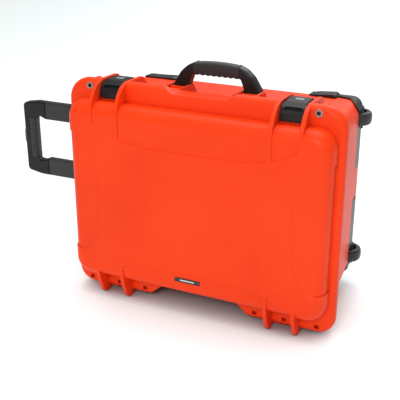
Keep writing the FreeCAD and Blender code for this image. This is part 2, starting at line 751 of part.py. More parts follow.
def trolleyFrame():
    half = armHigh + armGap + frameWall
    end = trolleyInnerEnd() + armGap + frameWall
    frame = box(-backHalf + 2, end, trolleyFloor, baseDepth, backMid - half, backMid + half)
    guide = box(-rimHalf, trolleyInnerEnd() + armGap, armY - armDepth / 2 - armGap,
                armY + armDepth / 2 + armGap, backMid + armLow - armGap, backMid + armHigh + armGap)
    bolt = cylinder(boltRadius + armGap, (boltX, armY, backMid + armHigh), (boltX, armY, backMid + half + 1))
    parked = bolt.translated(Vector(trolleyTravel, 0, 0))
    middle = box(-backHalf + gripBar + 10, end - frameWall, trolleyFloor + frameWall, baseDepth + 1,
                 backMid - armLow + armGap + frameWall, backMid + armLow - armGap - frameWall)
    ribs = [box(x - 2, x + 2, trolleyFloor, baseDepth - 3, backMid - armLow, backMid + armLow)
            for x in (-110, -55, 55)]
    gripRoom = box(-rimHalf, -backHalf + gripBar + 6, trolleyFloor + frameWall, baseDepth + 1,
                   backMid - armHigh - armGap, backMid + armHigh + armGap)
    # The grip's two ends reach further in, over the arms.
    endRoom = box(-rimHalf, armOuterX + trolleyTravel + gripClear, trolleyFloor + frameWall, baseDepth + 1,
                  backMid + armLow - armGap, backMid + armHigh + armGap)
    cuts = [guide, mirrorZ(guide), bolt, mirrorZ(bolt), parked, mirrorZ(parked), gripRoom, endRoom,
            mirrorZ(endRoom)]
    cuts += [cutAll(middle, ribs)]
    for x, z in frameScrewPlaces():
        cuts += [cylinder(screwRadius + pinGap, (x, trolleyFloor - 1, z), (x, baseDepth, z))]
    frame = cutAll(frame, cuts)
    return frame


def frameScrews():
    return [screw(x, trolleyFloor + frameWall + 2.5, z, 10) for x, z in frameScrewPlaces()]


def trolleyGrip():
    inner = gripX + gripBar
    y0 = armY - gripDepth / 2
    y1 = armY + gripDepth / 2
    outline = [
        (gripX, -armHigh + 7, 12), (gripX, armHigh - 7, 12), (gripX + 42, armHigh, 20),
        (armOuterX, armHigh), (armOuterX, armLow), (armOuterX - 14, armLow + 6, 10),
        (inner, armLow + 6, 6), (inner, -armLow - 6, 6), (armOuterX - 14, -armLow - 6, 10),
        (armOuterX, -armLow), (armOuterX, -armHigh), (gripX + 42, -armHigh, 20),
    ]
    outline = [(point[0], point[1] + backMid) + tuple(point[2:]) for point in outline]
    grip = slabY(outline, y0, y1)
    edges = edgesAtY(grip, y0) + edgesAtY(grip, y1)
    grip = grip.makeFillet(4, [edge for edge in edges if edge.BoundBox.XMin < armOuterX - 0.1])
    inside = armDepth / 2 - armWall - 0.2
    spigot = box(armOuterX - 1, armOuterX + 18, armY - inside, armY + inside,
                 backMid + armLow + armWall + 0.2, backMid + armHigh - armWall - 0.2)
    grip = fuseAll(grip, [spigot, mirrorZ(spigot)])
    pocket = box(gripX + 8, gripX + 22, armY - 4, armY + 4, backMid - armOffset - 5, backMid + armOffset + 5)
    opening = slabX(buttonOutline(6.2, 18.2, 5.9), gripX - 5, gripX + 11.5 + releaseTravel)
    rod = cylinder(rodRadius + 1, (gripX + 8, armY, armAxisZ), (armOuterX + 30, armY, armAxisZ))
    hole = cylinder(2, (armOuterX + 9, armY, armAxisZ + 12), (armOuterX + 9, armY + 30, armAxisZ + 12))
    pad = padBlock()
    return cutAll(grip, [pocket, opening, rod, mirrorZ(rod), hole, mirrorZ(hole), pad])


def buttonOutline(halfY, halfZ, corner):
    return [(armY - halfY, backMid - halfZ, corner), (armY + halfY, backMid - halfZ, corner),
            (armY + halfY, backMid + halfZ, corner), (armY - halfY, backMid + halfZ, corner)]


def padBlock():
    inner = gripX + gripBar
    half = armLow
    y0 = armY - gripDepth / 2 - padProud
    y1 = armY + gripDepth / 2 + padProud
    outer = slabZ([(inner - 16, y0, 3), (inner + 1.5, y0, 7), (inner + 1.5, y1, 7), (inner - 16, y1, 3)],
                  backMid - half, backMid + half)
    inside = box(inner - 17, inner - 4, y0 + 4, y1 - 4, backMid - half - 1, backMid + half + 1)
    return outer.cut(inside)


def trolleyArms():
    outer = box(armOuterX, armInnerX, armY - armDepth / 2, armY + armDepth / 2,
                backMid + armLow, backMid + armHigh)
    long_ = edgesWhere(outer, lambda b: b.XLength > armLength - 1)
    outer = outer.makeFillet(2.5, long_)
    inside = box(armOuterX - 1, armInnerX + 1, armY - armDepth / 2 + armWall, armY + armDepth / 2 - armWall,
                 backMid + armLow + armWall, backMid + armHigh - armWall)
    bolt = cylinder(boltRadius + runningGap, (boltX, armY, armAxisZ), (boltX, armY, backMid + armHigh + 1))
    hole = cylinder(2, (armOuterX + 9, armY, armAxisZ + 12), (armOuterX + 9, armY + 30, armAxisZ + 12))
    arm = cutAll(outer, [inside, bolt, hole])
    return [arm, mirrorZ(arm)]


def armCaps():
    # Plastic plugs that close the arms' inner ends and slide in the frame.
    inside = armDepth / 2 - armWall - 0.1
    plug = box(armInnerX - 8, armInnerX, armY - inside, armY + inside,
               backMid + armLow + armWall + 0.1, backMid + armHigh - armWall - 0.1)
    return [plug, mirrorZ(plug)]


def armScrews():
    place = (armOuterX + 9, armY + armDepth / 2, armAxisZ + 12)
    one = cylinder(1.95, place, (place[0], place[1] - 8, place[2]))
    return [one, mirrorZ(one)]


def releaseButton():
    cap = slabX(buttonOutline(6, 18, 5.8), gripX - 5.5, gripX + 11)
    cap = cap.makeFillet(1.5, edgesWhere(cap, lambda b: b.XMax < gripX - 5.4))
    cross = box(gripX + 10, gripX + 14, armY - 3, armY + 3, backMid - armOffset - 3.5, armAxisZ + 3.5)
    return cap.fuse(cross).removeSplitter()


def pullRods():
    rod = cylinder(rodRadius, (gripX + 14, armY, armAxisZ), (boltX - boltRadius - 5, armY, armAxisZ))
    return [rod, mirrorZ(rod)]


def releaseSpring():
    return coil(2.2, 0.35, (gripX + 22, armY, backMid), (gripX + 18.3, armY, backMid))


def lockBolt():
    tip = backMid + armHigh - 0.1
    return cylinder(boltRadius, (boltX, armY, armAxisZ + 8), (boltX, armY, tip))


def boltSpring():
    start = backMid + armLow + armWall + 0.1
    return coil(2.6, 0.4, (boltX, armY, start), (boltX, armY, armAxisZ + 8 - releaseTravel - 0.3))


# ---------------------------------------------------------------- wheels and housings

def revolveZ(points, centreZ):
    loop = roundedLoop(points, lambda r, z: Vector(wheelX + r, wheelY, centreZ + z))
    return Part.Face(loop).revolve(Vector(wheelX, wheelY, centreZ), Vector(0, 0, 1), 360)


def tyre(z):
    half = wheelWidth / 2
    return revolveZ([(hubRadius, -half + 1, 1), (wheelRadius - 2, -half, 7), (wheelRadius, 0, 30),
                     (wheelRadius - 2, half, 7), (hubRadius, half - 1, 1)], z)


def hub(z):
    half = wheelWidth / 2
    bore = bearingRadius
    rimIn = hubRadius - 3
    return revolveZ([
        (bore, -half + 2), (bore + 2.5, -half + 2, 1), (bore + 3.5, -4, 1), (rimIn - 1, -4, 2),
        (rimIn, -half + 0.5, 1), (hubRadius, -half + 1), (hubRadius, half - 1), (rimIn, half - 0.5, 1),
        (rimIn - 1, 4, 2),
        (bore + 3.5, 4, 1), (bore + 2.5, half - 2, 1), (bore, half - 2),
    ], z)


def bearings(z):
    low = -wheelWidth / 2 + 2.2
    return [ring(bearingRadius - pinGap, axleRadius + runningGap, (wheelX, wheelY, z + side * low),
                 (wheelX, wheelY, z + side * (low + 5))) for side in (-1, 1)]


def spacer(z):
    half = wheelWidth / 2 - 7.4
    return ring(axleRadius + 2, axleRadius + 0.3, (wheelX, wheelY, z - half), (wheelX, wheelY, z + half))


def axle(z, away):
    # away is +1 for the upper wheel and -1 for the lower one: the outer cheek is the thin one
    reach = wheelWidth / 2 + wheelSide + cheekDepth
    near = z - away * (reach + 3.5)
    far = z + away * (reach - 2)
    return cylinder(axleRadius, (wheelX, wheelY, near), (wheelX, wheelY, far))


def guardSkin():
    # The outside of the housings and feet: the base's outside grown, with a rounded back corner.
    skin = baseBody(housingSkin, housingBack)
    behind = baseDepth + housingBack
    side = backHalf + housingSkin
    outline = [(-side, behind, 18), (side, behind, housingCorner), (side + 2, behind - 70), (side + 60, 0),
               (-side - 60, 0), (-side - 2, behind - 70)]
    return skin.common(slabZ(outline, -20, rimHigh + 40))


def raisedPad(x0, x1, rise):
    # The thick rail on a housing or foot, on the top face at the back.
    y0 = baseDepth - 26
    y1 = baseDepth + housingBack - 0.5
    low = backHigh - 12
    pad = slabY([(x0, low), (x0, backHigh + rise - 6), (x0 + 10, backHigh + rise - 3, 6),
                 (x1 - 6, backHigh + rise, 4), (x1, backHigh + rise - 5, 3), (x1, low)], y0, y1)
    return pad.makeFillet(1.5, [edge for edge in edgesAtY(pad, y1) if edge.BoundBox.ZMin > backHigh])


def wheelHousing(start):
    low = backMid + start
    region = slabZ([
        (wheelX - 108, baseDepth + 30), (wheelX - 108, baseDepth - 24), (wheelX - 52, baseDepth - 8, 12),
        (wheelX - 21, baseDepth - 19, 14), (wheelX + 3, wingFront, 4), (rimHalf, wingFront),
        (rimHalf, baseDepth + 30)], low, rimHigh + 20)
    pocket = cornerPrism(0, low, pocketTop)
    skin = guardSkin()
    housing = skin.common(region).fuse(skin.common(pocket))
    housing = housing.fuse(raisedPad(wheelX - 104, wheelX - 48, 9))
    housing = housing.cut(baseBody(0, 0).cut(pocket))
    wheelZ = backMid + wheelOffset
    half = wheelWidth / 2 + wheelSide
    slot = cylinder(wheelRadius + wheelGap, (wheelX, wheelY, wheelZ - half), (wheelX, wheelY, wheelZ + half))
    bore = cylinder(axleRadius + pinGap, (wheelX, wheelY, wheelZ - half - cheekDepth - 4),
                    (wheelX, wheelY, wheelZ + half + cheekDepth - 1.5))
    hollow = slabZ([(wheelX - 60, baseDepth + 1, 2), (wheelX - 24, wingFront + 13, 4),
                    (wheelX - 12, wingFront + 5, 4), (backHalf - 2, wingFront + 5, 2),
                    (backHalf - 1, baseDepth - 12, 10),
                    (backHalf - 16, baseDepth + 1, 10)], low + wall, wheelZ - half - cheekDepth - 4)
    cheeks = [cylinder(axleRadius + 8, (wheelX, wheelY, wheelZ + side * (half - 0.5)),
                       (wheelX, wheelY, wheelZ + side * (half + cheekDepth))) for side in (-1, 1)]
    housing = fuseAll(housing, cheeks)
    cuts = [slot, bore, hollow]
    for x, z in housingScrewPlaces():
        cuts += [cylinder(screwRadius + pinGap, (x, 0, z), (x, baseDepth + 40, z))]
        cuts += [cylinder(screwHead + 0.2, (x, baseDepth + housingBack - 2.5, z), (x, baseDepth + 40, z))]
    return cutAll(housing, cuts)


def foot():
    x0 = -backHalf + 18
    x1 = -backHalf + 96
    region = box(x0, x1, baseDepth - 26, baseDepth + 30, backMid + armOffset + 72, rimHigh)
    block = guardSkin().common(region).fuse(raisedPad(x0 + 0.5, x1 - 0.5, 6))
    block = block.cut(baseBody(0, 0))
    cuts = []
    for x, z in footScrewPlaces():
        cuts += [cylinder(screwRadius + pinGap, (x, 0, z), (x, baseDepth + 40, z))]
        cuts += [cylinder(screwHead + 0.2, (x, baseDepth + housingBack - 2.5, z), (x, baseDepth + 40, z))]
    return cutAll(block, cuts)


def backScrews(places):
    return [screw(x, baseDepth + housingBack, z, 14) for x, z in places]


# ---------------------------------------------------------------- write every piece

save("lid_shell", lidShell())
save("lid_gasket", lidGasket())
save("lid_padlock_bushes", *padlockBushes(-lidRimDepth - padRaise, lidFace, -lidRimDepth - padRaise))
save("label_plate", labelPlate())
save("base_shell", baseShell())
save("base_padlock_bushes", *padlockBushes(baseFace, baseRimDepth, baseRimDepth))
save("hinge_pins", *hingePins())
save("latch_pins", *latchPins())
valveBody, valveCap, valveSeal, valveNut = valve()
save("pressure_valve_body", valveBody)
save("pressure_valve_cap", valveCap)
save("pressure_valve_seal", valveSeal)
save("pressure_valve_nut", valveNut)
for name, place in (("left", -latchX), ("right", latchX)):
    save(f"latch_{name}_lever", latchLever(place))
    save(f"latch_{name}_button", latchButton(place))
    save(f"latch_{name}_spring", latchSpring(place))
save("carry_handle_core", handleCore())
save("carry_handle_grip", handleGrip())
save("carry_handle_pins", *handlePins())
save("trolley_frame", trolleyFrame())
save("trolley_frame_screws", *frameScrews())
save("trolley_grip", trolleyGrip())
save("trolley_grip_pad", padBlock())
save("trolley_arms", *trolleyArms())
save("trolley_arm_caps", *armCaps())
save("trolley_arm_screws", *armScrews())
save("trolley_release_button", releaseButton())
save("trolley_pull_rods", *pullRods())
save("trolley_release_spring", releaseSpring())
save("trolley_bolt_upper", lockBolt())
save("trolley_bolt_lower", mirrorZ(lockBolt()))
save("trolley_bolt_springs", boltSpring(), mirrorZ(boltSpring()))
save("wheel_housing_upper", wheelHousing(upperStart))
save("wheel_housing_lower", mirrorZ(wheelHousing(lowerStart)))
save("wheel_housing_screws", *backScrews(housingScrewPlaces()))
save("foot_upper", foot())
save("foot_lower", mirrorZ(foot()))
save("foot_screws", *backScrews(footScrewPlaces()))
for name, away in (("upper", 1), ("lower", -1)):
    height = backMid + away * wheelOffset
    save(f"wheel_{name}_tyre", tyre(height))
    save(f"wheel_{name}_hub", hub(height))
    save(f"wheel_{name}_bearings", *bearings(height))
    save(f"wheel_{name}_spacer", spacer(height))
    save(f"wheel_{name}_axle", axle(height, away))
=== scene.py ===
import json
import math
import bmesh
import bpy
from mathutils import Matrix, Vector

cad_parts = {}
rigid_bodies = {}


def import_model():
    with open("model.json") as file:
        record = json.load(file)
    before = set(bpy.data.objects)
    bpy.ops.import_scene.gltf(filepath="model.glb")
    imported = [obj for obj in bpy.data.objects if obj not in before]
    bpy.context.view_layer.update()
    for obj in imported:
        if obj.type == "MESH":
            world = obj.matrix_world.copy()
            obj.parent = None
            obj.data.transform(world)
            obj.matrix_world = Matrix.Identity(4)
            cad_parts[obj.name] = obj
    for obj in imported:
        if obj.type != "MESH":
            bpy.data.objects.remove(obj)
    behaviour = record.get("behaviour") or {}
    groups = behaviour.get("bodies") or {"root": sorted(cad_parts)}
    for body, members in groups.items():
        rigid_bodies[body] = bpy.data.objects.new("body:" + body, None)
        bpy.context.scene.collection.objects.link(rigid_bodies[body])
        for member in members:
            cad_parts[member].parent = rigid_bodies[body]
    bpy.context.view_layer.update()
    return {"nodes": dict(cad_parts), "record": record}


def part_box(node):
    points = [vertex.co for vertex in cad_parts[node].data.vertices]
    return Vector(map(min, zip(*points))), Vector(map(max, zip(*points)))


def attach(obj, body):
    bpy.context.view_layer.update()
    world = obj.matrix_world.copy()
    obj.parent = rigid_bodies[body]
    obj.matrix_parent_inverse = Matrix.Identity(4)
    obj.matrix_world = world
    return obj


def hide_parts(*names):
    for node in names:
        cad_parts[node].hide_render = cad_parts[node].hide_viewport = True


for leftover in list(bpy.data.objects):
    bpy.data.objects.remove(leftover)
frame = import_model()
nodes = frame["nodes"]
slotOf = {part["node"]: part["material_slot"] for part in frame["record"]["subparts"]}
print("frame loaded,", len(nodes), "nodes")


# Shader maths: a Wire is one value in a Finish, and + - * / on it add Math nodes.

class Wire:
    def __init__(self, finish, socket):
        self.finish = finish
        self.socket = socket

    def work(self, operation, first, second=0.0):
        return self.finish.node("ShaderNodeMath", {"operation": operation}, {0: first, 1: second})

    def __add__(self, other):
        return self.work("ADD", self, other)

    def __sub__(self, other):
        return self.work("SUBTRACT", self, other)

    def __rsub__(self, other):
        return self.work("SUBTRACT", other, self)

    def __mul__(self, other):
        return self.work("MULTIPLY", self, other)

    __radd__ = __add__
    __rmul__ = __mul__

    def between(self, low, high, newLow=0.0, newHigh=1.0):
        return self.finish.node("ShaderNodeMapRange", {"clamp": True},
                                {0: self, 1: low, 2: high, 3: newLow, 4: newHigh})


class Finish:
    def __init__(self, name, **constants):
        self.material = bpy.data.materials.new(name)
        self.material.use_nodes = True
        self.tree = self.material.node_tree
        self.shader = self.tree.nodes["Principled BSDF"]
        for socket, value in constants.items():
            self.shader.inputs[socket.replace("_", " ")].default_value = value
        self.place = self.node("ShaderNodeTexCoord", {}, {}, "Object")

    def node(self, kind, settings, sockets, output=0):
        made = self.tree.nodes.new(kind)
        for name, value in settings.items():
            if name == "stops":
                for stop, (where, colour) in zip(made.color_ramp.elements, value):
                    stop.position = where
                    stop.color = colour
            else:
                setattr(made, name, value)
        for key, value in sockets.items():
            self.put(made.inputs[key], value)
        return Wire(self, made.outputs[output])

    def put(self, socket, value):
        if isinstance(value, Wire):
            self.tree.links.new(value.socket, socket)
        else:
            socket.default_value = value

    def noise(self, scale, detail=2.0, roughness=0.5):
        sockets = {"Vector": self.place, "Scale": scale, "Detail": detail, "Roughness": roughness}
        return self.node("ShaderNodeTexNoise", {}, sockets)

    def cells(self, scale):
        return self.node("ShaderNodeTexVoronoi", {"feature": "SMOOTH_F1"},
                         {"Vector": self.place, "Scale": scale, "Smoothness": 0.6})

    def colour(self, factor, first, second):
        return self.node("ShaderNodeMix", {"data_type": "RGBA"},
                         {0: factor, 6: (*first, 1) if isinstance(first, tuple) else first,
                          7: (*second, 1) if isinstance(second, tuple) else second}, 2)

    def softEdge(self, radius):
        return self.node("ShaderNodeBevel", {"samples": 4}, {"Radius": radius}, "Normal")

    def edgeMask(self, rounded):
        # 0 on flat faces, rising towards 1 on rounded corners; drives a painted highlight along
        # edges and lower roughness there
        flat = self.node("ShaderNodeNewGeometry", {}, {}, "Normal")
        facing = self.node("ShaderNodeVectorMath", {"operation": "DOT_PRODUCT"},
                           {0: rounded, 1: flat}, "Value")
        return (1 - facing).between(0.01, 0.22)

    def paintedShade(self, reach, most):
        # painted shade: 0 in the open, rising to most deep in grooves and corners, where less light
        # reaches
        openness = self.node("ShaderNodeAmbientOcclusion", {"samples": 8}, {"Distance": reach}, "AO")
        return openness.between(0.12, 0.62, most, 0.0)

    def bump(self, height, strength, distance, under=None):
        sockets = {"Height": height, "Strength": strength, "Distance": distance}
        if under:
            sockets["Normal"] = under
        return self.node("ShaderNodeBump", {}, sockets, "Normal")

    def feed(self, **links):
        for name, wire in links.items():
            self.put(self.shader.inputs[name.replace("_", " ")], wire)


shellLook = {
    "colour": (0.88, 0.050, 0.005),
    "deepColour": (0.82, 0.042, 0.004),
    # a lighter colour painted along rounded edges as a highlight
    "edgeHighlightColour": (0.95, 0.11, 0.030),
    # a deep colour painted into grooves and corners as shade
    "paintedCreaseColour": (0.46, 0.012, 0.001),
    "creaseReach": 0.024,
    "creaseShade": 0.75,
    # strength of the painted highlight along rounded edges
    "edgeHighlight": 0.75,
    "specular": 0.15,
    "roughness": 0.42,
    "grain": 1500.0,              # mould texture, cells per metre
    "grainDepth": 0.00010,
    "edgeRadius": 0.0014,
}


def mouldedShell(look):
    finish = Finish("mouldedShell", Specular_IOR_Level=look["specular"])
    rounded = finish.softEdge(look["edgeRadius"])
    roundEdge = finish.edgeMask(rounded)
    cloud = finish.noise(6.0, 3.0)
    fleck = finish.noise(420.0, 2.0)
    base = finish.colour(cloud.between(0.38, 0.66), look["colour"], look["deepColour"])
    # painted highlight: rounded edges lightened towards a paler orange, broken up by fine noise
    paintedEdgeHighlight = (roundEdge * look["edgeHighlight"]) * fleck.between(0.2, 0.8, 0.6, 1.0)
    base = finish.colour(paintedEdgeHighlight, base, look["edgeHighlightColour"])
    # painted shade: grooves, recesses and corners darkened towards a deep orange
    paintedShade = finish.paintedShade(look["creaseReach"], look["creaseShade"])
    base = finish.colour(paintedShade, base, look["paintedCreaseColour"])
    grain = finish.cells(look["grain"]) * 0.6 + finish.noise(look["grain"] * 1.7, 2.0) * 0.5
    rough = cloud * 0.08 + fleck * 0.05 + (look["roughness"] - 0.065)
    finish.feed(Base_Color=base, Roughness=rough - roundEdge * 0.06,
                Normal=finish.bump(grain, 0.35, look["grainDepth"], rounded))
    return finish.material


def blackMoulding(name, colour, roughness, grain, depth, edge, radius=0.0009, specular=0.42):
    finish = Finish(name, Specular_IOR_Level=specular)
    rounded = finish.softEdge(radius)
    roundEdge = finish.edgeMask(rounded)
    cloud = finish.noise(14.0, 3.0)
    fleck = finish.noise(600.0, 2.0)
    lighter = tuple(c * 1.35 + 0.003 for c in colour)
    base = finish.colour(cloud.between(0.35, 0.7) * 0.6 + fleck * 0.2, colour, lighter)
    # painted highlight: rounded edges lightened by the amount edge
    base = finish.colour(roundEdge * 0.6, base, tuple(c + edge for c in colour))
    height = finish.cells(grain) * 0.7 + finish.noise(grain * 1.6, 2.0) * 0.4
    rough = cloud * 0.12 + fleck * 0.06 + (roughness - 0.09)
    finish.feed(Base_Color=base, Roughness=rough - roundEdge * 0.08,
                Normal=finish.bump(height, 0.4, depth, rounded))
    return finish.material


def softRubber(name, colour, roughness):
    finish = Finish(name, Specular_IOR_Level=0.3, Sheen_Weight=0.12, Sheen_Roughness=0.6)
    cloud = finish.noise(22.0, 4.0)
    dust = finish.noise(900.0, 3.0, 0.7)
    lighter = tuple(c * 1.5 + 0.004 for c in colour)
    dusty = cloud.between(0.4, 0.75) * 0.5 + dust * 0.3
    finish.feed(Base_Color=finish.colour(dusty, colour, lighter),
                Roughness=cloud * 0.1 + dust * 0.08 + (roughness - 0.09),
                Normal=finish.bump(finish.cells(1800.0) * 0.5 + dust, 0.35, 0.00008))
    return finish.material


def platedSteel(name, colour, roughness):
    finish = Finish(name, Metallic=1.0)
    stretched = finish.node("ShaderNodeMapping", {},
                            {"Vector": finish.place, "Scale": (60.0, 900.0, 60.0)})
    lines = finish.node("ShaderNodeTexNoise", {},
                        {"Vector": stretched, "Scale": 6.0, "Detail": 3.0})
    stain = finish.noise(120.0, 3.0)
    darker = tuple(c * 0.62 for c in colour)
    stained = stain.between(0.45, 0.75) * 0.5 + lines * 0.2
    finish.feed(Base_Color=finish.colour(stained, colour, darker),
                Roughness=lines * 0.16 + stain * 0.12 + (roughness - 0.14),
                Normal=finish.bump(lines, 0.25, 0.00005, finish.softEdge(0.0005)))
    return finish.material


def powderCoat(name, colour, roughness):
    finish = Finish(name, Specular_IOR_Level=0.45)
    peel = finish.noise(700.0, 2.0)
    long = finish.node("ShaderNodeMapping", {},
                       {"Vector": finish.place, "Scale": (4.0, 260.0, 260.0)})
    rubbed = finish.node("ShaderNodeTexNoise", {}, {"Vector": long, "Scale": 3.0, "Detail": 4.0})
    scuff = rubbed.between(0.52, 0.72)
    lighter = tuple(c * 1.9 + 0.01 for c in colour)
    finish.feed(Base_Color=finish.colour(scuff * 0.5, colour, lighter),
                Roughness=peel * 0.12 + (roughness - 0.06) + scuff * 0.08,
                Normal=finish.bump(peel, 0.3, 0.00008, finish.softEdge(0.0008)))
    return finish.material


def badgeGloss(name, colour):
    finish = Finish(name, Specular_IOR_Level=0.5)
    smear = finish.noise(60.0, 3.0)
    lighter = tuple(c * 1.8 for c in colour)
    finish.feed(Base_Color=finish.colour(smear.between(0.4, 0.8) * 0.4, colour, lighter),
                Roughness=smear * 0.15 + 0.22,
                Normal=finish.bump(finish.noise(500.0), 0.15, 0.00005))
    return finish.material


finishes = {
    "orange_shell": mouldedShell(shellLook),
    "black_plastic": blackMoulding("blackPlastic", (0.009, 0.0085, 0.009), 0.34, 1500.0, 0.00010,
                                  0.035, specular=0.24),
    "grey_plastic": blackMoulding("greyButton", (0.24, 0.245, 0.25), 0.34, 2200.0, 0.00005,
                                 0.10, 0.0006),
    "soft_grip": softRubber("softGrip", (0.015, 0.0145, 0.0145), 0.55),
    "seal_rubber": softRubber("sealRubber", (0.05, 0.05, 0.05), 0.7),
    "tread": softRubber("wheelTread", (0.014, 0.014, 0.015), 0.45),
    "label": badgeGloss("badgeBlack", (0.018, 0.018, 0.019)),
    "black_metal": powderCoat("blackTube", (0.016, 0.016, 0.017), 0.40),
    "steel": platedSteel("platedSteel", (0.36, 0.31, 0.28), 0.38),
}
paleInlay = badgeGloss("paleInlay", (0.62, 0.62, 0.60))

for name, part in nodes.items():
    for materialSlot in part.material_slots:
        materialSlot.material = finishes[slotOf[name]]
print("finishes made,", len(finishes) + 1)


# Pieces. Each mesh is a grid of rings: every ring has as many points, and neighbours are joined.

def meshFromRings(name, rings, closedLoop=False, capEnds=True, smooth=True):
    made = bmesh.new()
    grid = [[made.verts.new(point) for point in ring] for ring in rings]
    count = len(rings[0])
    pairs = list(zip(grid, grid[1:])) + ([(grid[-1], grid[0])] if closedLoop else [])
    for near, far in pairs:
        for k in range(count):
            made.faces.new((near[k], near[(k + 1) % count], far[(k + 1) % count], far[k]))
    if capEnds and not closedLoop:
        made.faces.new(list(reversed(grid[0])))
        made.faces.new(grid[-1])
    bmesh.ops.recalc_face_normals(made, faces=made.faces)
    mesh = bpy.data.meshes.new(name)
    made.to_mesh(mesh)
    made.free()
    mesh.polygons.foreach_set("use_smooth", [smooth] * len(mesh.polygons))
    piece = bpy.data.objects.new(name, mesh)
    bpy.context.scene.collection.objects.link(piece)
    return piece


def dress(piece, slot, body, *stands):
    piece.data.materials.append(finishes[slot])
    if stands:
        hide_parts(*stands)
    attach(piece, body)
    return piece


def keepEdges(piece, width, segments=2):
    bevel = piece.modifiers.new("edges", "BEVEL")
    bevel.width = width
    bevel.segments = segments
    bevel.limit_method = "ANGLE"
    bevel.angle_limit = math.radians(35)


def roundedSection(halfWide, low, high, corner, steps):
    # u across, v up; a rectangle with round corners, as a closed list of points
    points = []
    middles = [(halfWide - corner, high - corner), (-halfWide + corner, high - corner),
               (-halfWide + corner, low + corner), (halfWide - corner, low + corner)]
    for quarter, (u, v) in enumerate(middles):
        for k in range(steps + 1):
            angle = math.radians(90 * (quarter + k / steps))
            points.append((u + corner * math.cos(angle), v + corner * math.sin(angle)))
    return points


gripLook = {
    "rings": 121,
    "ridges": 8,
    "ridgeDepth": 0.0023,
    "collar": 0.0040,             # length of the thicker end bands
    "waist": 0.0007,              # the middle is this much slimmer
    "arch": 1.28,
    "corner": 0.0058,
}


def handleGrip(look):
    low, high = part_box("carry_handle_grip")
    middleY = (low.y + high.y) / 2
    half = (high.y - low.y) / 2
    reach = high.x
    rings = []
    for k in range(look["rings"]):
        x = low.x + (high.x - low.x) * k / (look["rings"] - 1)
        inside = min(1.0, max(0.0, (reach - abs(x) - look["collar"]) / 0.0012))
        slim = look["waist"] * inside
        edge = min(1.0, (reach - abs(x)) / 0.0010)
        tuck = 0.0008 * (1 - math.sqrt(max(0.0, 1 - (1 - edge) ** 2)))
        top = high.z - look["arch"] * x * x - slim - tuck
        wave = abs(math.sin(math.pi * look["ridges"] * (x + reach) / (2 * reach)))
        bottom = low.z + look["ridgeDepth"] * (1 - wave ** 0.7) * inside + slim * 0.4 + tuck
        bottom += look["ridgeDepth"] * 0.35 * (1 - inside)
        section = roundedSection(half - slim - tuck, bottom, top, look["corner"], 6)
        rings.append([(x, middleY + u, v) for u, v in section])
    grip = meshFromRings("carryHandleGrip", rings)
    keepEdges(grip, 0.0004)
    return dress(grip, "soft_grip", "carry_handle", "carry_handle_grip")


padLook = {
    "ribs": 15,
    "ribHeight": 0.0006,
    "rings": 181,
}


def trolleyPad(look):
    # A soft C-shaped pad on the inside of the pull handle's bar, with fine ribs across it.
    low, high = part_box("trolley_grip_pad")
    wallThick = 0.004
    rings = []
    for k in range(look["rings"]):
        share = k / (look["rings"] - 1)
        z = low.z + (high.z - low.z) * share
        fromEnd = min(share, 1 - share) * (high.z - low.z)
        fade = min(1.0, max(0.0, (fromEnd - 0.006) / 0.004))
        rib = 0.5 - 0.5 * math.cos(2 * math.pi * look["ribs"] * share)
        dip = look["ribHeight"] * (1 - rib) * fade + 0.0008 * max(0.0, 1 - fromEnd / 0.001) ** 2
        x0, x1 = low.x, high.x - dip
        y0, y1 = low.y + dip, high.y - dip
        corner = 0.0065
        outer = [(x0, y0)]
        middleX = x1 - corner
        for middleY, start in ((y0 + corner, -90), (y1 - corner, 0)):
            for step in range(8):
                angle = math.radians(start + 90 * step / 7)
                outer.append((middleX + corner * math.cos(angle),
                              middleY + corner * math.sin(angle)))
        outer.append((x0, y1))
        inner = [(x0, high.y - wallThick), (high.x - 0.0055, high.y - wallThick),
                 (high.x - 0.0055, low.y + wallThick), (x0, low.y + wallThick)]
        rings.append([(x, y, z) for x, y in outer + inner])
    pad = meshFromRings("trolleyHandlePad", rings)
    keepEdges(pad, 0.0004)
    return dress(pad, "soft_grip", "trolley", "trolley_grip_pad")


tyreLook = {
    "segments": 144,
    "grooves": 36,
    "grooveDepth": 0.0006,
}


def lathe(name, profile, centre, segments, carve=None):
    rings = []
    for k in range(segments):
        angle = 2 * math.pi * k / segments
        ring = []
        for radius, z in profile:
            r = radius - (carve(angle, radius, z) if carve else 0.0)
            ring.append((centre.x + r * math.cos(angle), centre.y + r * math.sin(angle),
                         centre.z + z))
        rings.append(ring)
    return meshFromRings(name, rings, closedLoop=True)


def wheelTyre(look, which):
    low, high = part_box(f"wheel_{which}_tyre")
    centre = (low + high) / 2
    outer = (high.x - low.x) / 2
    half = (high.z - low.z) / 2
    hubLow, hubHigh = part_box(f"wheel_{which}_hub")
    inner = (hubHigh.x - hubLow.x) / 2
    profile = [(inner, -half + 0.0008), (inner + 0.0012, -half + 0.0002), (outer - 0.0072, -half),
               (outer - 0.0064, -half + 0.0006), (outer - 0.0052, -half + 0.0002)]
    crown = 17
    for k in range(crown):
        lean = math.radians(-78 + 156 * k / (crown - 1))
        profile.append((outer - 0.0050 + 0.0050 * math.cos(lean) ** 0.8,
                        (half - 0.0004) * math.sin(lean) / 0.978))
    profile += [(r, -z) for r, z in reversed(profile[:5])]

    def carve(angle, radius, z):
        across = abs(z) / half
        shoulder = min(1.0, max(0.0, (across - 0.45) / 0.15))
        shoulder *= min(1.0, max(0.0, (0.93 - across) / 0.05))
        notch = max(0.0, math.cos(look["grooves"] * angle) - 0.72) / 0.28
        return look["grooveDepth"] * shoulder * notch if radius > outer - 0.004 else 0.0

    tyre = lathe(f"wheelTyre.{which}", profile, centre, look["segments"] * 2, carve)
    return dress(tyre, "tread", f"wheel_{which}", f"wheel_{which}_tyre")


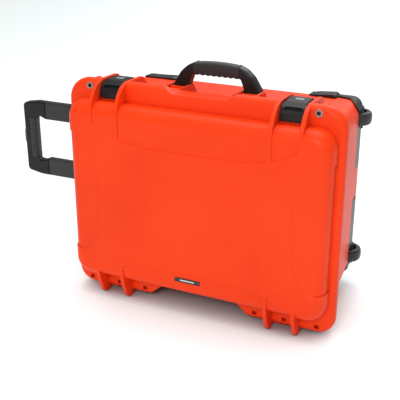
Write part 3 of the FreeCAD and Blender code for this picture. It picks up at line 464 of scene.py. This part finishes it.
def sealStrip():
    # A rubber cord in the lid's groove: flat behind and domed towards the base.
    low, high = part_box("lid_gasket")
    wide = 0.0037
    middle = Vector(((low.x + high.x) / 2, 0, (low.z + high.z) / 2))
    halfX = (high.x - low.x) / 2 - wide / 2
    halfZ = (high.z - low.z) / 2 - wide / 2
    corner = 0.0385
    path = []
    for quarter, (sideX, sideZ) in enumerate(((1, 1), (-1, 1), (-1, -1), (1, -1))):
        for k in range(19):
            angle = math.radians(90 * (quarter + k / 18))
            out = Vector((math.cos(angle), 0, math.sin(angle)))
            turn = Vector((sideX * (halfX - corner), 0, sideZ * (halfZ - corner)))
            path.append((turn + out * corner, out))
    section = [(wide / 2, low.y + 0.0005), (wide / 2 - 0.0005, low.y), (-wide / 2 + 0.0005, low.y),
               (-wide / 2, low.y + 0.0005), (-wide / 2, high.y - 0.0016)]
    dome = 0.0016
    section += [(-wide / 2 * math.cos(math.radians(30 * k)),
                 high.y - dome + dome * math.sin(math.radians(30 * k))) for k in range(1, 6)]
    section += [(wide / 2, high.y - 0.0016)]
    rings = [[middle + point + out * u + Vector((0, y, 0)) for u, y in section]
             for point, out in path]
    strip = meshFromRings("lidSealStrip", rings, closedLoop=True)
    return dress(strip, "seal_rubber", "lid", "lid_gasket")


def valveRing():
    low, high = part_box("pressure_valve_seal")
    centre = (low + high) / 2
    outer = (high.x - low.x) / 2
    thick = (high.z - low.z) / 2
    profile = [(outer - thick + thick * math.cos(math.radians(a)),
                thick * math.sin(math.radians(a))) for a in range(-90, 91, 15)]
    profile += [(outer - 0.0042 + thick * math.cos(math.radians(a)),
                 thick * math.sin(math.radians(a))) for a in range(90, 271, 15)]
    ring = lathe("valveSealRing", profile, centre, 72)
    return dress(ring, "seal_rubber", "base", "pressure_valve_seal")


badgeLook = {
    "rim": 0.0011,
    "rimHeight": 0.0004,
    "corner": 0.0014,
    "inlay": (0.55, 0.26),        # share of the badge's width and height
}


def roundedRectangle(middleX, middleZ, halfX, halfZ, corner, steps=5):
    points = roundedSection(halfX, -halfZ, halfZ, corner, steps)
    return [(middleX + u, middleZ + v) for u, v in points]


def frontBadge(look):
    # A plain badge: a raised border round a flat field, with one pale bar inlaid.
    low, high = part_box("label_plate")
    middleX = (low.x + high.x) / 2
    middleZ = (low.z + high.z) / 2
    halfX = (high.x - low.x) / 2
    halfZ = (high.z - low.z) / 2
    steps = [(0.0, high.y), (0.0, low.y + 0.0003), (0.0003, low.y), (look["rim"], low.y),
             (look["rim"] + 0.0003, low.y + look["rimHeight"])]
    rings = []
    for inset, y in steps:
        corner = max(0.0003, look["corner"] - inset)
        loop = roundedRectangle(middleX, middleZ, halfX - inset, halfZ - inset, corner)
        rings.append([(x, y, z) for x, z in loop])
    badge = meshFromRings("frontBadge", rings, smooth=False)
    dress(badge, "label", "lid", "label_plate")
    wide, tall = look["inlay"]
    face = low.y + look["rimHeight"]
    loops = [(0.0, face + 0.0002), (0.0, face - 0.0001), (0.0002, face - 0.0002)]
    rings = []
    for inset, y in loops:
        loop = roundedRectangle(middleX, middleZ, halfX * wide - inset, halfZ * tall - inset,
                                0.0008 - inset)
        rings.append([(x, y, z) for x, z in loop])
    bar = meshFromRings("frontBadgeInlay", rings, smooth=False)
    bar.data.materials.append(paleInlay)
    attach(bar, "lid")
    return badge


handleGrip(gripLook)
trolleyPad(padLook)
wheelTyre(tyreLook, "upper")
wheelTyre(tyreLook, "lower")
sealStrip()
valveRing()
frontBadge(badgeLook)
print("pieces built")


# Floor, light and camera.

stageLook = {
    "floorColour": (0.62, 0.68, 0.68),
    "floorGlow": 0.42,
    "shadowReach": 0.32,
    # colour of the painted shadow on the floor under the case
    "paintedShadowColour": (0.30, 0.29, 0.29),
    "worldColour": (1.0, 1.0, 1.0),
    "worldStrength": 0.34,
}


def paleFloor(look):
    rings = [[(-9.0, y, 0.0), (9.0, y, 0.0), (9.0, y, -0.02), (-9.0, y, -0.02)]
             for y in (-7.0, 9.0)]
    floor = meshFromRings("paleFloor", rings, smooth=False)
    finish = Finish("paleFloor", Specular_IOR_Level=0.0, Emission_Strength=look["floorGlow"])
    cloud = finish.noise(1.5, 2.0)
    paintedShadow = finish.paintedShade(look["shadowReach"], 1.0)      # painted shadow: dark only close under the case
    lighter = tuple(c + 0.02 for c in look["floorColour"])
    openFloor = finish.colour(cloud, look["floorColour"], lighter)
    # painted shadow: floor colour and glow both darkened close under the case
    finish.feed(Base_Color=finish.colour(paintedShadow, openFloor, look["paintedShadowColour"]),
                Roughness=cloud * 0.1 + 0.8,
                Emission_Color=finish.colour(paintedShadow, (1.0, 1.0, 1.0), (0.0, 0.0, 0.0)))
    floor.data.materials.append(finish.material)


def softLight(name, place, aim, size, power, colour=(1.0, 1.0, 1.0)):
    light = bpy.data.lights.new(name, "AREA")
    light.shape = "DISK"
    light.size = size
    light.energy = power
    light.color = colour
    holder = bpy.data.objects.new(name, light)
    holder.location = place
    holder.rotation_euler = (Vector(aim) - Vector(place)).to_track_quat("-Z", "Y").to_euler()
    bpy.context.scene.collection.objects.link(holder)


def studioCamera():
    azimuth = math.radians(24.88)
    lift = math.radians(22.42)
    camera = bpy.data.cameras.new("studioCamera")
    camera.sensor_width = 36
    camera.lens = 72.8
    camera.clip_end = 50
    holder = bpy.data.objects.new("studioCamera", camera)
    holder.location = (0.6481, -1.4059, 0.8877)
    holder.rotation_euler = (math.pi / 2 - lift, 0, azimuth)
    bpy.context.scene.collection.objects.link(holder)
    bpy.context.scene.camera = holder


paleFloor(stageLook)
world = bpy.data.worlds.new("softRoom")
world.use_nodes = True
world.node_tree.nodes["Background"].inputs["Color"].default_value = (*stageLook["worldColour"], 1)
world.node_tree.nodes["Background"].inputs["Strength"].default_value = stageLook["worldStrength"]
bpy.context.scene.world = world
softLight("keyLight", (0.5, -2.7, 1.9), (0.0, 0.0, 0.25), 1.0, 48)
softLight("topLight", (0.0, 0.4, 3.0), (0.0, 0.3, 0.0), 2.6, 62)
softLight("backLight", (0.0, 5.2, 3.4), (0.0, 4.6, 0.0), 4.0, 120)
studioCamera()
bpy.context.scene.view_settings.view_transform = "Standard"
bpy.context.scene.view_settings.look = "None"
print("stage, light and camera set")
